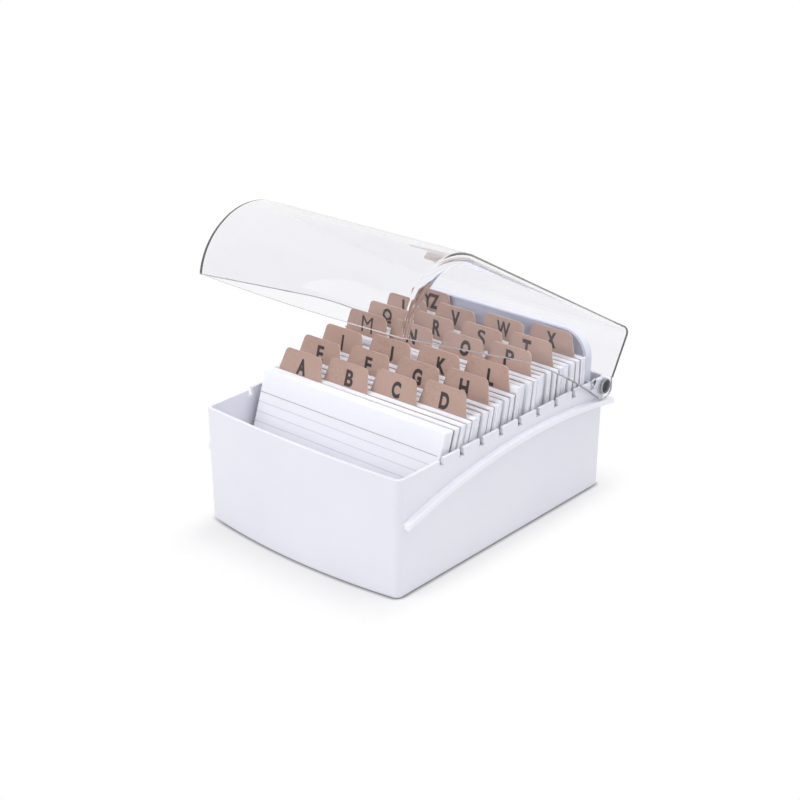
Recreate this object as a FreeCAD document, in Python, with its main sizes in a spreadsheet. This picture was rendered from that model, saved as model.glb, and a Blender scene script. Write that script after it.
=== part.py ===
import FreeCAD, Part
import Sketcher
import math
import os
from FreeCAD import Placement, Rotation, Vector

# Index card box: a tapered tray, a hinged clear lid, A to Z guide cards with packs of cards between them.
# X is the width of the cards, +Y points from the front of the box to the hinge, +Z is up.
# The origin is the middle of the underside, half way between the front corners and the back.

LETTERS = list("ABCDEFGHIJKLMNOPQRSTUVWX") + ["YZ"]

# guides that have slid sideways, and guides that stand proud of the floor
SLID = {"A": 1.4, "B": 1.4, "C": 1.7, "D": 1.6, "E": -1.7, "F": 0.3, "G": 1.7, "H": 1.7, "I": -1.7, "K": 1.0,
        "L": 1.0, "N": -0.8, "O": 1.7, "P": 0.8, "Q": -0.5, "R": -0.6, "S": 0.5, "T": 1.0, "U": -1.7,
        "V": 0.5, "W": 1.7, "X": 1.7, "YZ": 0.8}
RAISED = {"M": 2.9, "N": 2.4, "O": 2.4, "P": 2.2, "Q": 2.0, "R": 1.8, "S": 1.7, "T": 1.6, "U": 1.5,
          "V": 1.4, "W": 1.3, "X": 1.2, "YZ": 1.0}

SIZES = {
    # cards and guides
    "card_width": 127.0,
    "card_height": 76.2,
    "guide_thickness": 0.5,
    "guide_tab_height": 12.7,
    "guide_tab_base": 31.5,
    "guide_tab_crown": 25.7,
    "guide_tab_round": 3.0,
    "guide_tab_margin": 3.75,
    "guide_tab_columns": 4,
    "first_guide_setback": 18.3,
    "first_guide_tilt": 0.342,
    "last_guide_tilt": 0.074,
    "front_pack_depth": 6.1,
    "rear_pack_depth": 2.0,
    "pack_slack": 0.39,
    "rear_slack": 0.65,
    "card_clearance": 0.02,
    "moving_clearance": 0.3,
    # tray
    "card_side_room": 2.1,
    "base_draft": 0.3,
    "base_bow": 5.8,
    "rim_flare": 1.2,
    "rim_length": 164.6,
    "rim_bow": 2.4,
    "rim_shift": 2.0,
    "rim_height": 65.0,
    "corner_round": 4.0,
    "tray_wall": 1.9,
    "tray_floor": 2.2,
    "foot_bevel": 1.2,
    "front_step_drop": 0.8,
    # notches in the side rims
    "notch_count": 9,
    "notch_setback": 30.6,
    "notch_rear_setback": 13.2,
    "notch_width": 2.6,
    "notch_depth": 4.5,
    "notch_foot_width": 3.8,
    "notch_foot_height": 0.9,
    # side rails that carry the closed lid
    "rail_crest_height": 56.4,
    "rail_crest_setback": 58.3,
    "rail_bend": 350.0,
    "rail_front_setback": 2.6,
    "rail_rear_reach": 3.8,
    "rail_thickness": 3.2,
    "rail_ledge": 3.3,
    # backrest plate in the last pair of notches
    "plate_thickness": 2.0,
    "plate_inset": 0.7,
    "plate_over_cards": 11.8,
    "plate_round": 15.0,
    "plate_tilt": 0.07,
    "plate_ear_inset": 0.2,
    "plate_ear_height": 4.2,
    "plate_rib_inset": 5.8,
    "plate_rib_width": 2.0,
    "plate_rib_depth": 3.4,
    "plate_rib_height": 72.0,
    # lid, drawn closed
    "lid_wall": 2.0,
    "lid_side_gap": 0.6,
    "lid_headroom": 1.5,
    "lid_nose_round": 36.0,
    "lid_nose_overhang": 15.2,
    "lid_lip_reach": 33.6,
    "lid_bow": 3.0,
    "lid_back_round": 4.5,
    "lid_back_edge": 6.0,
    "lid_rail_gap": 0.4,
    "lid_knee_setback": 60.3,
    "lid_open_angle": 30.7,
    "lid_mark_place": 10.4,
    "lid_mark_drop": 0.3,
    "lid_mark_length": 3.8,
    "lid_mark_width": 1.7,
    # hinge
    "hinge_setback": 4.3,
    "hinge_drop": 4.8,
    "boss_radius": 4.6,
    "boss_gap": 0.15,
    "rivet_radius": 2.4,
    "rivet_running_gap": 0.06,
    "rivet_head_gap": 0.1,
    "rivet_head_radius": 4.4,
    "rivet_head_edge": 0.6,
    "rivet_head_crown": 1.9,
    "post_radius": 1.5,
    "post_head_radius": 2.1,
    "post_head_edge": 0.4,
    "post_head_crown": 0.9,
}

doc = FreeCAD.newDocument("index_card_box")
sheet = doc.addObject("Spreadsheet::Sheet", "Sizes")
for row, (name, number) in enumerate(SIZES.items(), start=1):
    sheet.set("A%d" % row, name)
    sheet.set("B%d" % row, str(number))
    sheet.setAlias("B%d" % row, name)
doc.recompute()


class Size:
    """A length with its number and the expression on the sheet that gives it."""

    def __init__(self, number, text):
        self.number = float(number)
        self.text = text

    @staticmethod
    def of(other):
        return other if isinstance(other, Size) else Size(other, repr(other))

    def joined(self, sign, other, number):
        return Size(number, "(%s %s %s)" % (self.text, sign, other.text))

    def __add__(self, other):
        other = Size.of(other)
        return self.joined("+", other, self.number + other.number)

    def __radd__(self, other):
        return Size.of(other) + self

    def __sub__(self, other):
        other = Size.of(other)
        return self.joined("-", other, self.number - other.number)

    def __rsub__(self, other):
        return Size.of(other) - self

    def __mul__(self, other):
        other = Size.of(other)
        return self.joined("*", other, self.number * other.number)

    def __rmul__(self, other):
        return Size.of(other) * self

    def __truediv__(self, other):
        other = Size.of(other)
        return self.joined("/", other, self.number / other.number)

    def __neg__(self):
        return 0 - self

    def root(self):
        return Size(math.sqrt(self.number), "sqrt(%s)" % self.text)


def size(name):
    """The named value on the sheet."""
    return Size(sheet.get(name), "Sizes." + name)


def number(name):
    return float(sheet.get(name))


def new_body(label):
    body = doc.addObject("PartDesign::Body", "Body_" + label)
    body.Label = label
    return body


def new_sketch(body, name, plane, offset=0):
    """A sketch on one of the body's own planes, moved along the plane's normal by offset."""
    sketch = body.newObject("Sketcher::SketchObject", name)
    origin_plane = [part for part in body.Origin.OriginFeatures if part.Role == plane][0]
    sketch.AttachmentSupport = [(origin_plane, "")]
    sketch.MapMode = "FlatFace"
    offset = Size.of(offset)
    sketch.AttachmentOffset = Placement(Vector(0, 0, offset.number), Rotation())
    sketch.setExpression("AttachmentOffset.Base.z", offset.text)
    return sketch


def bind(sketch, kind, *items):
    """Adds a dimension to a sketch and ties it to the sheet; the last item is the size."""
    value = Size.of(items[-1])
    index = sketch.addConstraint(Sketcher.Constraint(kind, *items[:-1], value.number))
    sketch.setExpression("Constraints[%d]" % index, value.text)


def place_point(sketch, geometry, corner, across, up):
    """Fixes one end of a sketch edge by its distances from the sketch's origin."""
    bind(sketch, "DistanceX", -1, 1, geometry, corner, across)
    bind(sketch, "DistanceY", -1, 1, geometry, corner, up)


def draw_outline(sketch, corners, bends=None):
    """
    Draws a closed outline through the corners, given as pairs of sizes.
    bends maps the number of an edge to (radius, side): that edge is an arc of the radius, and side is
    1 where its centre lies to the left of the way from its first corner to its second, -1 to the right.
    """
    bends = bends or {}
    count = len(corners)
    for index in range(count):
        start = Vector(Size.of(corners[index][0]).number, Size.of(corners[index][1]).number, 0)
        after = corners[(index + 1) % count]
        end = Vector(Size.of(after[0]).number, Size.of(after[1]).number, 0)
        if index in bends:
            sketch.addGeometry(arc_between(start, end, Size.of(bends[index][0]).number, bends[index][1]))
        else:
            sketch.addGeometry(Part.LineSegment(start, end))
    first_point = {}
    for index in range(count):
        anticlockwise = index not in bends or bends[index][1] > 0
        first_point[index] = 1 if anticlockwise else 2
    for index in range(count):
        after = (index + 1) % count
        joint = (index, 3 - first_point[index], after, first_point[after])
        sketch.addConstraint(Sketcher.Constraint("Coincident", *joint))
    for index, (across, up) in enumerate(corners):
        place_point(sketch, index, first_point[index], across, up)
    for index, (radius, side) in bends.items():
        bind(sketch, "Radius", index, radius)


def arc_between(start, end, radius, side):
    """The shorter arc from start to end, with its centre on the given side."""
    chord = end - start
    half = chord.Length / 2
    across = Vector(-chord.y, chord.x, 0).normalize() * side
    centre = (start + end) / 2 + across * math.sqrt(max(radius ** 2 - half ** 2, 0))
    first, last = (start, end) if side > 0 else (end, start)
    angles = [math.atan2(point.y - centre.y, point.x - centre.x) for point in (first, last)]
    return Part.ArcOfCircle(Part.Circle(centre, Vector(0, 0, 1), radius), angles[0], angles[1])


def draw_circle(sketch, across, up, radius):
    radius = Size.of(radius)
    centre = Vector(Size.of(across).number, Size.of(up).number, 0)
    circle = sketch.addGeometry(Part.Circle(centre, Vector(0, 0, 1), radius.number))
    place_point(sketch, circle, 3, across, up)
    bind(sketch, "Radius", circle, radius)


def pad(body, name, sketch, length, both_sides=False):
    feature = body.newObject("PartDesign::Pad", name)
    feature.Profile = sketch
    feature.setExpression("Length", Size.of(length).text)
    if both_sides:
        feature.SideType = "Symmetric"
    doc.recompute()
    return feature


def cut(body, name, sketch, length, both_sides=True):
    """A pocket, checked to have taken material away."""
    before = body.Shape.Volume
    feature = body.newObject("PartDesign::Pocket", name)
    feature.Profile = sketch
    feature.setExpression("Length", Size.of(length).text)
    if both_sides:
        feature.SideType = "Symmetric"
    doc.recompute()
    if body.Shape.Volume >= before - 1e-6:
        raise ValueError(name + " cuts nothing")
    return feature


def loft(body, kind, name, sketches, ruled):
    feature = body.newObject("PartDesign::" + kind, name)
    feature.Profile = sketches[0]
    feature.Sections = sketches[1:]
    feature.Ruled = ruled
    doc.recompute()
    return feature


def round_edges(body, name, base, radius, wanted):
    """Rounds the edges of the base feature that wanted() picks."""
    names = ["Edge%d" % (index + 1) for index, edge in enumerate(base.Shape.Edges) if wanted(edge)]
    feature = body.newObject("PartDesign::Fillet", name)
    feature.Base = (base, names)
    feature.setExpression("Radius", Size.of(radius).text)
    doc.recompute()
    return feature


# ---- places and lengths that several pieces share ----

half_base = size("card_width") / 2 + size("card_side_room") + size("tray_wall")
half_rim = half_base + size("rim_flare")
rim_rear = size("rim_shift") + size("rim_length") / 2
rim_front = size("rim_shift") - size("rim_length") / 2
base_end = size("rim_length") / 2 - size("base_draft")
rail_crest = rim_rear - size("rail_crest_setback")
rail_outer = half_rim + size("rail_ledge")


def rail_top_at(place, lift=0):
    """Height of a line above the top of the side rails, lifted by a distance, at a place along Y."""
    along = place - rail_crest
    bend = size("rail_bend")
    reach = bend + lift
    return size("rail_crest_height") - bend + (reach * reach - along * along).root()


def outer_half_width_at(height):
    """Half of the tray's outer width at a height."""
    return half_base + size("rim_flare") * height / size("rim_height")


hinge_y = rim_rear - size("hinge_setback")
hinge_z = size("rim_height") - size("hinge_drop")
first_notch = rim_front + size("notch_setback")
last_notch = rim_rear - size("notch_rear_setback")
notch_bottom = size("rim_height") - size("notch_depth")
lid_inner = half_rim + size("lid_side_gap")
lid_outer = lid_inner + size("lid_wall")
boss_face = lid_inner - size("boss_gap")
wall_inside = outer_half_width_at(hinge_z) - size("tray_wall")
tab_top = size("tray_floor") + size("card_height") + size("guide_tab_height")
lid_top = tab_top + size("lid_headroom") + size("lid_wall")
ear_low = rail_top_at(hinge_y, size("lid_rail_gap"))
lid_rear = hinge_y + hinge_z - ear_low
lid_nose = rim_front - size("lid_nose_overhang") + size("lid_nose_round")
lid_knee = rim_front + size("lid_knee_setback")
HINGE = Vector(0, hinge_y.number, hinge_z.number)
OPENED = Rotation(Vector(-1, 0, 0), number("lid_open_angle"))
LID_PLACE = Placement(Vector(), OPENED, HINGE)

plate_rise = (1 - size("plate_tilt") * size("plate_tilt")).root()
ear_middle = notch_bottom + size("plate_ear_height") / 2 - size("tray_floor")
plate_foot = last_notch - ear_middle * size("plate_tilt") / plate_rise
half_sheets = (size("plate_thickness") + size("guide_thickness")) / 2
first_guide = rim_front + size("first_guide_setback")
last_guide = plate_foot - half_sheets - size("rear_pack_depth") - size("rear_slack")
guide_pitch = (last_guide - first_guide) / (len(LETTERS) - 1)
tilt_step = (size("first_guide_tilt") - size("last_guide_tilt")) / (len(LETTERS) - 1)
first_rise = (1 - size("first_guide_tilt") * size("first_guide_tilt")).root()
room_at_top = (guide_pitch - size("card_height") * tilt_step) * first_rise
pack_depth = room_at_top - size("guide_thickness") - size("pack_slack")


# ---- tray ----

def tray_outline(sketch, half_width, front, rear, bow, turn):
    """The tray in plan: four rounded corners, with the front side bowed outwards."""
    bend = (half_width * half_width + bow * bow) / (bow * 2)
    near = half_width - turn
    start = front - bow + bend - (bend * bend - near * near).root()
    corners = [(-near, start), (near, start), (half_width, start + turn), (half_width, rear - turn),
               (near, rear), (-near, rear), (-half_width, rear - turn), (-half_width, start + turn)]
    bends = {0: (bend, 1), 1: (turn, 1), 3: (turn, 1), 5: (turn, 1), 7: (turn, 1)}
    draw_outline(sketch, corners, bends)


def make_tray():
    body = new_body("tray")
    wall = size("tray_wall")
    foot = size("foot_bevel")
    turn = size("corner_round")
    sole = new_sketch(body, "TraySole", "XY_Plane")
    tray_outline(sole, half_base - foot, foot - base_end, base_end - foot, size("base_bow"), turn - foot)
    base = new_sketch(body, "TrayBase", "XY_Plane", foot)
    tray_outline(base, outer_half_width_at(foot), -base_end, base_end, size("base_bow"), turn)
    rim = new_sketch(body, "TrayRim", "XY_Plane", size("rim_height"))
    tray_outline(rim, half_rim, rim_front, rim_rear, size("rim_bow"), turn)
    loft(body, "AdditiveLoft", "TrayShell", [sole, base, rim], True)

    rail = new_sketch(body, "RailSide", "YZ_Plane")
    front = rim_front + size("rail_front_setback")
    rear = rim_rear + size("rail_rear_reach")
    thick = size("rail_thickness")
    corners = [(front, rail_top_at(front) - thick), (rear, rail_top_at(rear) - thick),
               (rear, rail_top_at(rear)), (front, rail_top_at(front))]
    bend = size("rail_bend")
    draw_outline(rail, corners, {0: (bend, -1), 2: (bend, 1)})
    pad(body, "Rails", rail, rail_outer * 2, both_sides=True)

    boss = new_sketch(body, "BossSide", "YZ_Plane")
    draw_circle(boss, hinge_y, hinge_z, size("boss_radius"))
    pad(body, "HingeBosses", boss, boss_face * 2, both_sides=True)

    floor_inner = new_sketch(body, "InnerFloor", "XY_Plane", size("tray_floor"))
    inset = outer_half_width_at(size("tray_floor")) - wall
    tray_outline(floor_inner, inset, wall - base_end, base_end - wall, size("base_bow"), turn - wall)
    rim_inner = new_sketch(body, "InnerRim", "XY_Plane", size("rim_height"))
    tray_outline(rim_inner, half_rim - wall, rim_front + wall, rim_rear - wall, size("rim_bow"), turn - wall)
    loft(body, "SubtractiveLoft", "TrayHollow", [floor_inner, rim_inner], True)

    step = new_sketch(body, "FrontStep", "YZ_Plane")
    low = size("rim_height") - size("front_step_drop")
    high = size("rim_height") + 1
    ahead = rim_front - size("rim_bow") - 2
    draw_outline(step, [(ahead, low), (first_notch, low), (first_notch, high), (ahead, high)])
    cut(body, "FrontRimStep", step, rail_outer * 2)

    notch = new_sketch(body, "NotchSide", "YZ_Plane")
    half = size("notch_width") / 2
    wide = size("notch_foot_width") / 2
    knee = notch_bottom + size("notch_foot_height")
    corners = [(first_notch - wide, notch_bottom), (first_notch + wide, notch_bottom),
               (first_notch + wide, knee),
               (first_notch + half, knee), (first_notch + half, high), (first_notch - half, high),
               (first_notch - half, knee), (first_notch - wide, knee)]
    draw_outline(notch, corners)
    first = cut(body, "FirstNotches", notch, rail_outer * 2)
    row = body.newObject("PartDesign::LinearPattern", "NotchRow")
    row.Originals = [first]
    row.Direction = (notch, ["H_Axis"])
    row.setExpression("Length", (last_notch - first_notch).text)
    row.setExpression("Occurrences", size("notch_count").text)
    body.Tip = row
    doc.recompute()

    bore = new_sketch(body, "PostBore", "YZ_Plane")
    draw_circle(bore, hinge_y, hinge_z, size("post_radius"))
    cut(body, "PostHoles", bore, rail_outer * 2)
    seat = new_sketch(body, "PostSeat", "YZ_Plane")
    draw_circle(seat, hinge_y, hinge_z, size("post_head_radius") + 0.1)
    cut(body, "PostSeats", seat, wall_inside * 2)
    return body


# ---- lid ----

def lid_section(sketch, bow):
    """Side view of the lid's outside, closed, with its nose pushed forward by the bow."""
    nose = lid_nose - bow
    reach = size("lid_lip_reach")
    nose_round = size("lid_nose_round")
    lip_low = lid_top - nose_round - (nose_round * nose_round - reach * reach).root()
    gap = size("lid_rail_gap")
    back_round = size("lid_back_round")
    corners = [(nose - reach, lip_low), (lid_knee, rail_top_at(lid_knee, gap)), (hinge_y, ear_low),
               (lid_rear, hinge_z), (lid_rear, lid_top - back_round), (lid_rear - back_round, lid_top),
               (nose, lid_top)]
    bends = {1: (size("rail_bend") + gap, -1), 2: (hinge_z - ear_low, 1), 4: (back_round, 1),
             6: (nose_round, 1)}
    draw_outline(sketch, corners, bends)


def hollow_section(sketch, bow):
    """Side view of the space inside the closed lid, open below and behind the foot of its back."""
    wall = size("lid_wall")
    nose = lid_nose - bow
    inner_round = size("lid_nose_round") - wall
    reach = size("lid_lip_reach") * inner_round / size("lid_nose_round")
    lip_low = lid_top - size("lid_nose_round") - (inner_round * inner_round - reach * reach).root()
    below = lip_low - 5
    behind = lid_rear + 2
    back_edge = hinge_z + size("lid_back_edge")
    back_round = size("lid_back_round") - wall
    ceiling = lid_top - wall
    corners = [(nose - reach, lip_low), (nose - reach, below), (behind, below), (behind, back_edge),
               (lid_rear - wall, back_edge), (lid_rear - wall, ceiling - back_round),
               (lid_rear - wall - back_round, ceiling), (nose, ceiling)]
    draw_outline(sketch, corners, {5: (back_round, 1), 7: (inner_round, 1)})


def three_sections(body, name, draw, half_width):
    """Sketches at both sides and in the middle of the lid, the middle one bowed forward."""
    sketches = []
    for index, (side, bow) in enumerate(((-1, 0), (0, 1), (1, 0))):
        sketch = new_sketch(body, "%s%d" % (name, index), "YZ_Plane", half_width * side)
        draw(sketch, size("lid_bow") * bow)
        sketches.append(sketch)
    return sketches


def make_lid():
    body = new_body("lid")
    outside = three_sections(body, "LidSide", lid_section, lid_outer)
    loft(body, "AdditiveLoft", "LidBlock", outside, False)
    inside = three_sections(body, "LidInside", hollow_section, lid_inner)
    loft(body, "SubtractiveLoft", "LidHollow", inside, False)

    bore = new_sketch(body, "LidBore", "YZ_Plane")
    draw_circle(bore, hinge_y, hinge_z, size("rivet_radius") + size("rivet_running_gap"))
    cut(body, "LidHoles", bore, lid_outer * 2 + 2)

    mark = new_sketch(body, "LidMark", "YZ_Plane")
    across = hinge_y - size("lid_mark_place")
    up = hinge_z - size("lid_mark_drop")
    draw_slot(mark, across, up, size("lid_mark_length"), size("lid_mark_width"))
    cut(body, "LidMarks", mark, lid_outer * 2 + 2)
    body.Placement = LID_PLACE
    return body


def draw_slot(sketch, across, up, length, width):
    """An upright slot with rounded ends."""
    half = width / 2
    straight = (length - width) / 2
    corners = [(across + half, up - straight), (across + half, up + straight),
               (across - half, up + straight), (across - half, up - straight)]
    end_round = width * 0.55
    draw_outline(sketch, corners, {1: (end_round, 1), 3: (end_round, 1)})


# ---- rivets ----

def make_turned(label, corners, bends, right_side):
    """A round piece on the hinge's axis; corners are (distance along the axis, radius)."""
    body = new_body(label)
    sketch = new_sketch(body, "Half_" + label, "XY_Plane")
    draw_outline(sketch, corners, bends)
    turned = body.newObject("PartDesign::Revolution", "Turned_" + label)
    turned.Profile = sketch
    turned.ReferenceAxis = (sketch, ["H_Axis"])
    turned.Angle = 360
    turn = Rotation() if right_side else Rotation(Vector(0, 0, 1), 180)
    body.Placement = Placement(HINGE, turn)
    doc.recompute()
    return body


def dome_radius(width, rise):
    return (width * width + rise * rise) / (rise * 2)


def make_rivets():
    made = []
    shank = size("rivet_radius")
    head = size("rivet_head_radius")
    seat = lid_outer + size("rivet_head_gap")
    edge = seat + size("rivet_head_edge")
    crown = seat + size("rivet_head_crown")
    cap = [(boss_face, 0), (crown, 0), (edge, head), (seat, head), (seat, shank), (boss_face, shank)]
    cap_bends = {1: (dome_radius(head, crown - edge), 1)}
    pin = size("post_radius")
    tail = size("post_head_radius")
    tail_edge = wall_inside - size("post_head_edge")
    tail_crown = wall_inside - size("post_head_crown")
    post = [(tail_crown, 0), (boss_face, 0), (boss_face, pin), (wall_inside, pin), (wall_inside, tail),
            (tail_edge, tail)]
    post_bends = {5: (dome_radius(tail, tail_edge - tail_crown), 1)}
    for side, right_side in (("right", True), ("left", False)):
        made.append(make_turned("hinge_rivet_cap_" + side, cap, cap_bends, right_side))
        made.append(make_turned("hinge_rivet_post_" + side, post, post_bends, right_side))
    return made


# ---- guides, cards and backrest ----

def tilt_at(station):
    """How far a guide leans back for each millimetre of its height, by its place in the row."""
    return size("first_guide_tilt") - tilt_step * station


def foot_at(station):
    return first_guide + guide_pitch * station


def leaning(shift, foot, tilt, thickness, raised=0.0):
    """Places a flat piece, drawn upright, on the tray's floor and leans it back."""
    angle = math.asin(tilt)
    lift = thickness / 2 * tilt
    base = Vector(shift, foot + raised * tilt, number("tray_floor") + lift + raised * math.cos(angle))
    return Placement(base, Rotation(Vector(-1, 0, 0), math.degrees(angle)))


def make_guide(station, letter):
    body = new_body("guide_" + letter.lower())
    sketch = new_sketch(body, "Face_" + letter, "XZ_Plane")
    half = size("card_width") / 2
    shoulder = size("card_height")
    top = shoulder + size("guide_tab_height")
    column = station % SIZES["guide_tab_columns"]
    base = size("guide_tab_base") / 2
    end_tab = half - size("guide_tab_margin") - base
    middle = end_tab * (column * 2) / (size("guide_tab_columns") - 1) - end_tab
    crown = size("guide_tab_crown") / 2
    corners = [(-half, 0), (half, 0), (half, shoulder), (middle + base, shoulder), (middle + crown, top),
               (middle - crown, top), (middle - base, shoulder), (-half, shoulder)]
    draw_outline(sketch, corners)
    sheet_pad = pad(body, "Sheet_" + letter, sketch, size("guide_thickness"), both_sides=True)

    def on_crown(edge):
        return all(abs(vertex.Z - top.number) < 1e-4 for vertex in edge.Vertexes) and edge.Length < 1

    round_edges(body, "Tab_" + letter, sheet_pad, size("guide_tab_round"), on_crown)
    foot = foot_at(station).number
    raised = RAISED.get(letter, 0.0)
    shift = SLID.get(letter, 0.0)
    body.Placement = leaning(shift, foot, tilt_at(station).number, number("guide_thickness"), raised)
    return body


def make_pack(label, against, tilt, depth, lift=0):
    """
    A pack of cards that stands on the floor, or just above it, and leans on the face behind it.
    against is where that face meets the floor.
    """
    body = new_body(label)
    sketch = new_sketch(body, "Side_" + label, "YZ_Plane")
    rise = (1 - tilt * tilt).root()
    run = depth / rise
    height = size("card_height")
    corners = [(-run, 0), (0, 0), (height * tilt, height * rise), (height * tilt - run, height * rise)]
    draw_outline(sketch, corners)
    pad(body, "Pack_" + label, sketch, size("card_width"), both_sides=True)
    height_off = size("tray_floor") + lift
    body.Placement = Placement(Vector(0, (against + tilt / rise * lift).number, height_off.number), Rotation())
    return body


def front_of(foot, tilt, thickness, clearance):
    """Where the front face of a leaning flat piece meets the floor, less the clearance."""
    rise = (1 - tilt * tilt).root()
    return foot - thickness / 2 * rise - thickness * tilt * tilt / rise - clearance / rise


def make_file():
    """The guides with the cards between them, in front of them and behind them."""
    made = []
    thickness = size("guide_thickness")
    for station, letter in enumerate(LETTERS):
        made.append(make_guide(station, letter))
        tilt = tilt_at(station)
        moving = size("moving_clearance")
        if station == 0:
            against = front_of(foot_at(station), tilt, thickness, moving)
            made.append(make_pack("cards_front", against, tilt, size("front_pack_depth"), moving))
        else:
            against = front_of(foot_at(station), tilt, thickness, size("card_clearance"))
            name = "cards_behind_" + LETTERS[station - 1].lower()
            made.append(make_pack(name, against, tilt, pack_depth))
    against = front_of(plate_foot, size("plate_tilt"), size("plate_thickness"), size("card_clearance"))
    made.append(make_pack("cards_rear", against, size("plate_tilt"), size("rear_pack_depth")))
    return made


def make_backrest():
    body = new_body("backrest_plate")
    sketch = new_sketch(body, "PlateFace", "XZ_Plane")
    half = size("card_width") / 2 - size("plate_inset")
    ear = half_rim - size("plate_ear_inset")
    low = (notch_bottom - size("tray_floor")) / plate_rise
    high = low + size("plate_ear_height")
    top = size("card_height") + size("plate_over_cards")
    turn = size("plate_round")
    corners = [(-half, 0), (half, 0), (half, low), (ear, low), (ear, high), (half, high),
               (half, top - turn), (half - turn, top), (turn - half, top), (-half, top - turn),
               (-half, high), (-ear, high), (-ear, low), (-half, low)]
    draw_outline(sketch, corners, {6: (turn, 1), 8: (turn, 1)})
    pad(body, "Plate", sketch, size("plate_thickness"), both_sides=True)

    ribs = new_sketch(body, "PlateRibs", "XY_Plane", 1)
    back = size("plate_thickness") / 2
    wide = size("plate_rib_width") / 2
    for row, side in enumerate((-1, 1)):
        middle = (half - size("plate_rib_inset")) * side
        draw_rectangle(ribs, row, middle - wide, middle + wide, back - 0.5, back + size("plate_rib_depth"))
    pad(body, "Ribs", ribs, size("plate_rib_height"))
    raised = number("card_clearance")
    body.Placement = leaning(0, plate_foot.number, number("plate_tilt"), number("plate_thickness"), raised)
    return body


def draw_rectangle(sketch, row, left, right, near, far):
    corners = [(left, near), (right, near), (right, far), (left, far)]
    first = row * len(corners)
    points = [Vector(Size.of(x).number, Size.of(y).number, 0) for x, y in corners]
    for index in range(4):
        sketch.addGeometry(Part.LineSegment(points[index], points[(index + 1) % 4]))
    for index in range(4):
        joint = (first + index, 2, first + (index + 1) % 4, 1)
        sketch.addConstraint(Sketcher.Constraint("Coincident", *joint))
        place_point(sketch, first + index, 1, *corners[index])


pieces = [make_tray(), make_lid()] + make_rivets() + [make_backrest()] + make_file()
doc.recompute()

for item in doc.Objects:
    if "Invalid" in item.State or "Error" in item.State:
        raise ValueError("%s is not sound: %s" % (item.Label, item.State))
os.makedirs("parts", exist_ok=True)
for piece in pieces:
    if piece.Shape.isNull() or not piece.Shape.isValid():
        raise ValueError(piece.Label + " has no sound shape")
    piece.Shape.exportStep("parts/%s.step" % piece.Label)
    box = piece.Shape.BoundBox
    corners = (box.XMin, box.XMax, box.YMin, box.YMax, box.ZMin, box.ZMax)
    print(piece.Label, " ".join("%.2f" % value for value in corners))
print("hinge", HINGE)
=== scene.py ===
import math
import random

import bmesh
import bpy
from mathutils import Matrix, Vector


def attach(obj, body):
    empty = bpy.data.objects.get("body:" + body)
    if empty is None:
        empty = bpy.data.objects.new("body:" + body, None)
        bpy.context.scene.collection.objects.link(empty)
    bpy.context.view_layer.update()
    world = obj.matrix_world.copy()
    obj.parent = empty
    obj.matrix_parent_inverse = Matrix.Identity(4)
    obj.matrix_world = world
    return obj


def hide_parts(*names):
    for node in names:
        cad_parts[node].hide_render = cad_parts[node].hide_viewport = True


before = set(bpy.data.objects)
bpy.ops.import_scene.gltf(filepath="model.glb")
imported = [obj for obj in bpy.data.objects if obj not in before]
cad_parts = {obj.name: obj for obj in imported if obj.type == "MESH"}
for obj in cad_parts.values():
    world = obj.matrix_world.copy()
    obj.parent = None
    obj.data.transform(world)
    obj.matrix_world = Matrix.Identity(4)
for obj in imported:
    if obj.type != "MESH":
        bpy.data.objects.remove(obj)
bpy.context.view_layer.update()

MM = 0.001
SIDES = ((1, "right"), (-1, "left"))
chance = random.Random(7)

# ---- sizes in millimetres: X across, Y back, Z up ----

# guides and cards: a tilt is the sine of the lean, a foot is where it meets the tray's floor
CARD_W, CARD_H, GUIDE_T = 127.0, 76.2, 0.5
TAB_H, TAB_BASE, TAB_CROWN, TAB_ROUND = 12.7, 31.5, 25.7, 3.0
TAB_FIRST, TAB_PITCH, TAB_COLUMNS = -44.0, 88.0 / 3, 4
FIRST_TILT, LAST_TILT = 0.342, 0.074
FIRST_FOOT, LAST_FOOT = -62.0, 62.96
PACK_DEPTH, FRONT_DEPTH, REAR_DEPTH = 3.2, 6.1, 2.0
PACK_GAP, FRONT_GAP, FRONT_LIFT, FRONT_SLACK, FRONT_ASIDE = 0.02, 0.3, 0.3, 0.4, 1.4
CARD_PITCH, CARD_GAP, CARD_SINK, CARD_ASIDE = 0.42, 0.07, 0.3, (0.05, 0.5)
RULE_DROP, RULE_PITCH, RULE_MARGIN, RULE_OFF, RULE_LIFT = 11.5, 5.3, 0.3, 0.04, 0.1
HEADER_HALF, LINE_HALF = 0.2, 0.14

# what each tab says, and how wide and heavy it is printed
LETTERS = list("ABCDEFGHIJKLMNOPQRSTUVWX") + ["YZ"]
LETTER_WIDTH = {
    "A": 6.7, "B": 5.7, "C": 5.8, "D": 6.1, "E": 4.9, "F": 4.8, "G": 6.3, "H": 6.2, "I": 1.5,
    "J": 3.9, "K": 6.1, "L": 4.9, "M": 8.0, "N": 6.4, "O": 6.9, "P": 5.6, "Q": 6.9, "R": 6.0,
    "S": 5.5, "T": 5.8, "U": 6.2, "V": 6.6, "W": 9.4, "X": 6.6, "YZ": 12.2}
LETTER_H, LETTER_STROKE, NARROW_STROKE, LETTER_OFF = 8.7, 1.75, 1.35, 0.03
LETTER_DROP, RAISED_DROP = 3.6, 2.2
FONT_SIZE, FONT_STROKE = 12.0, 1.18
LEAST_THICKENING, MOST_THICKENING, SET_THICKENING = 0.1, 0.6, {"I": 0.25, "M": 0.0}

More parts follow.
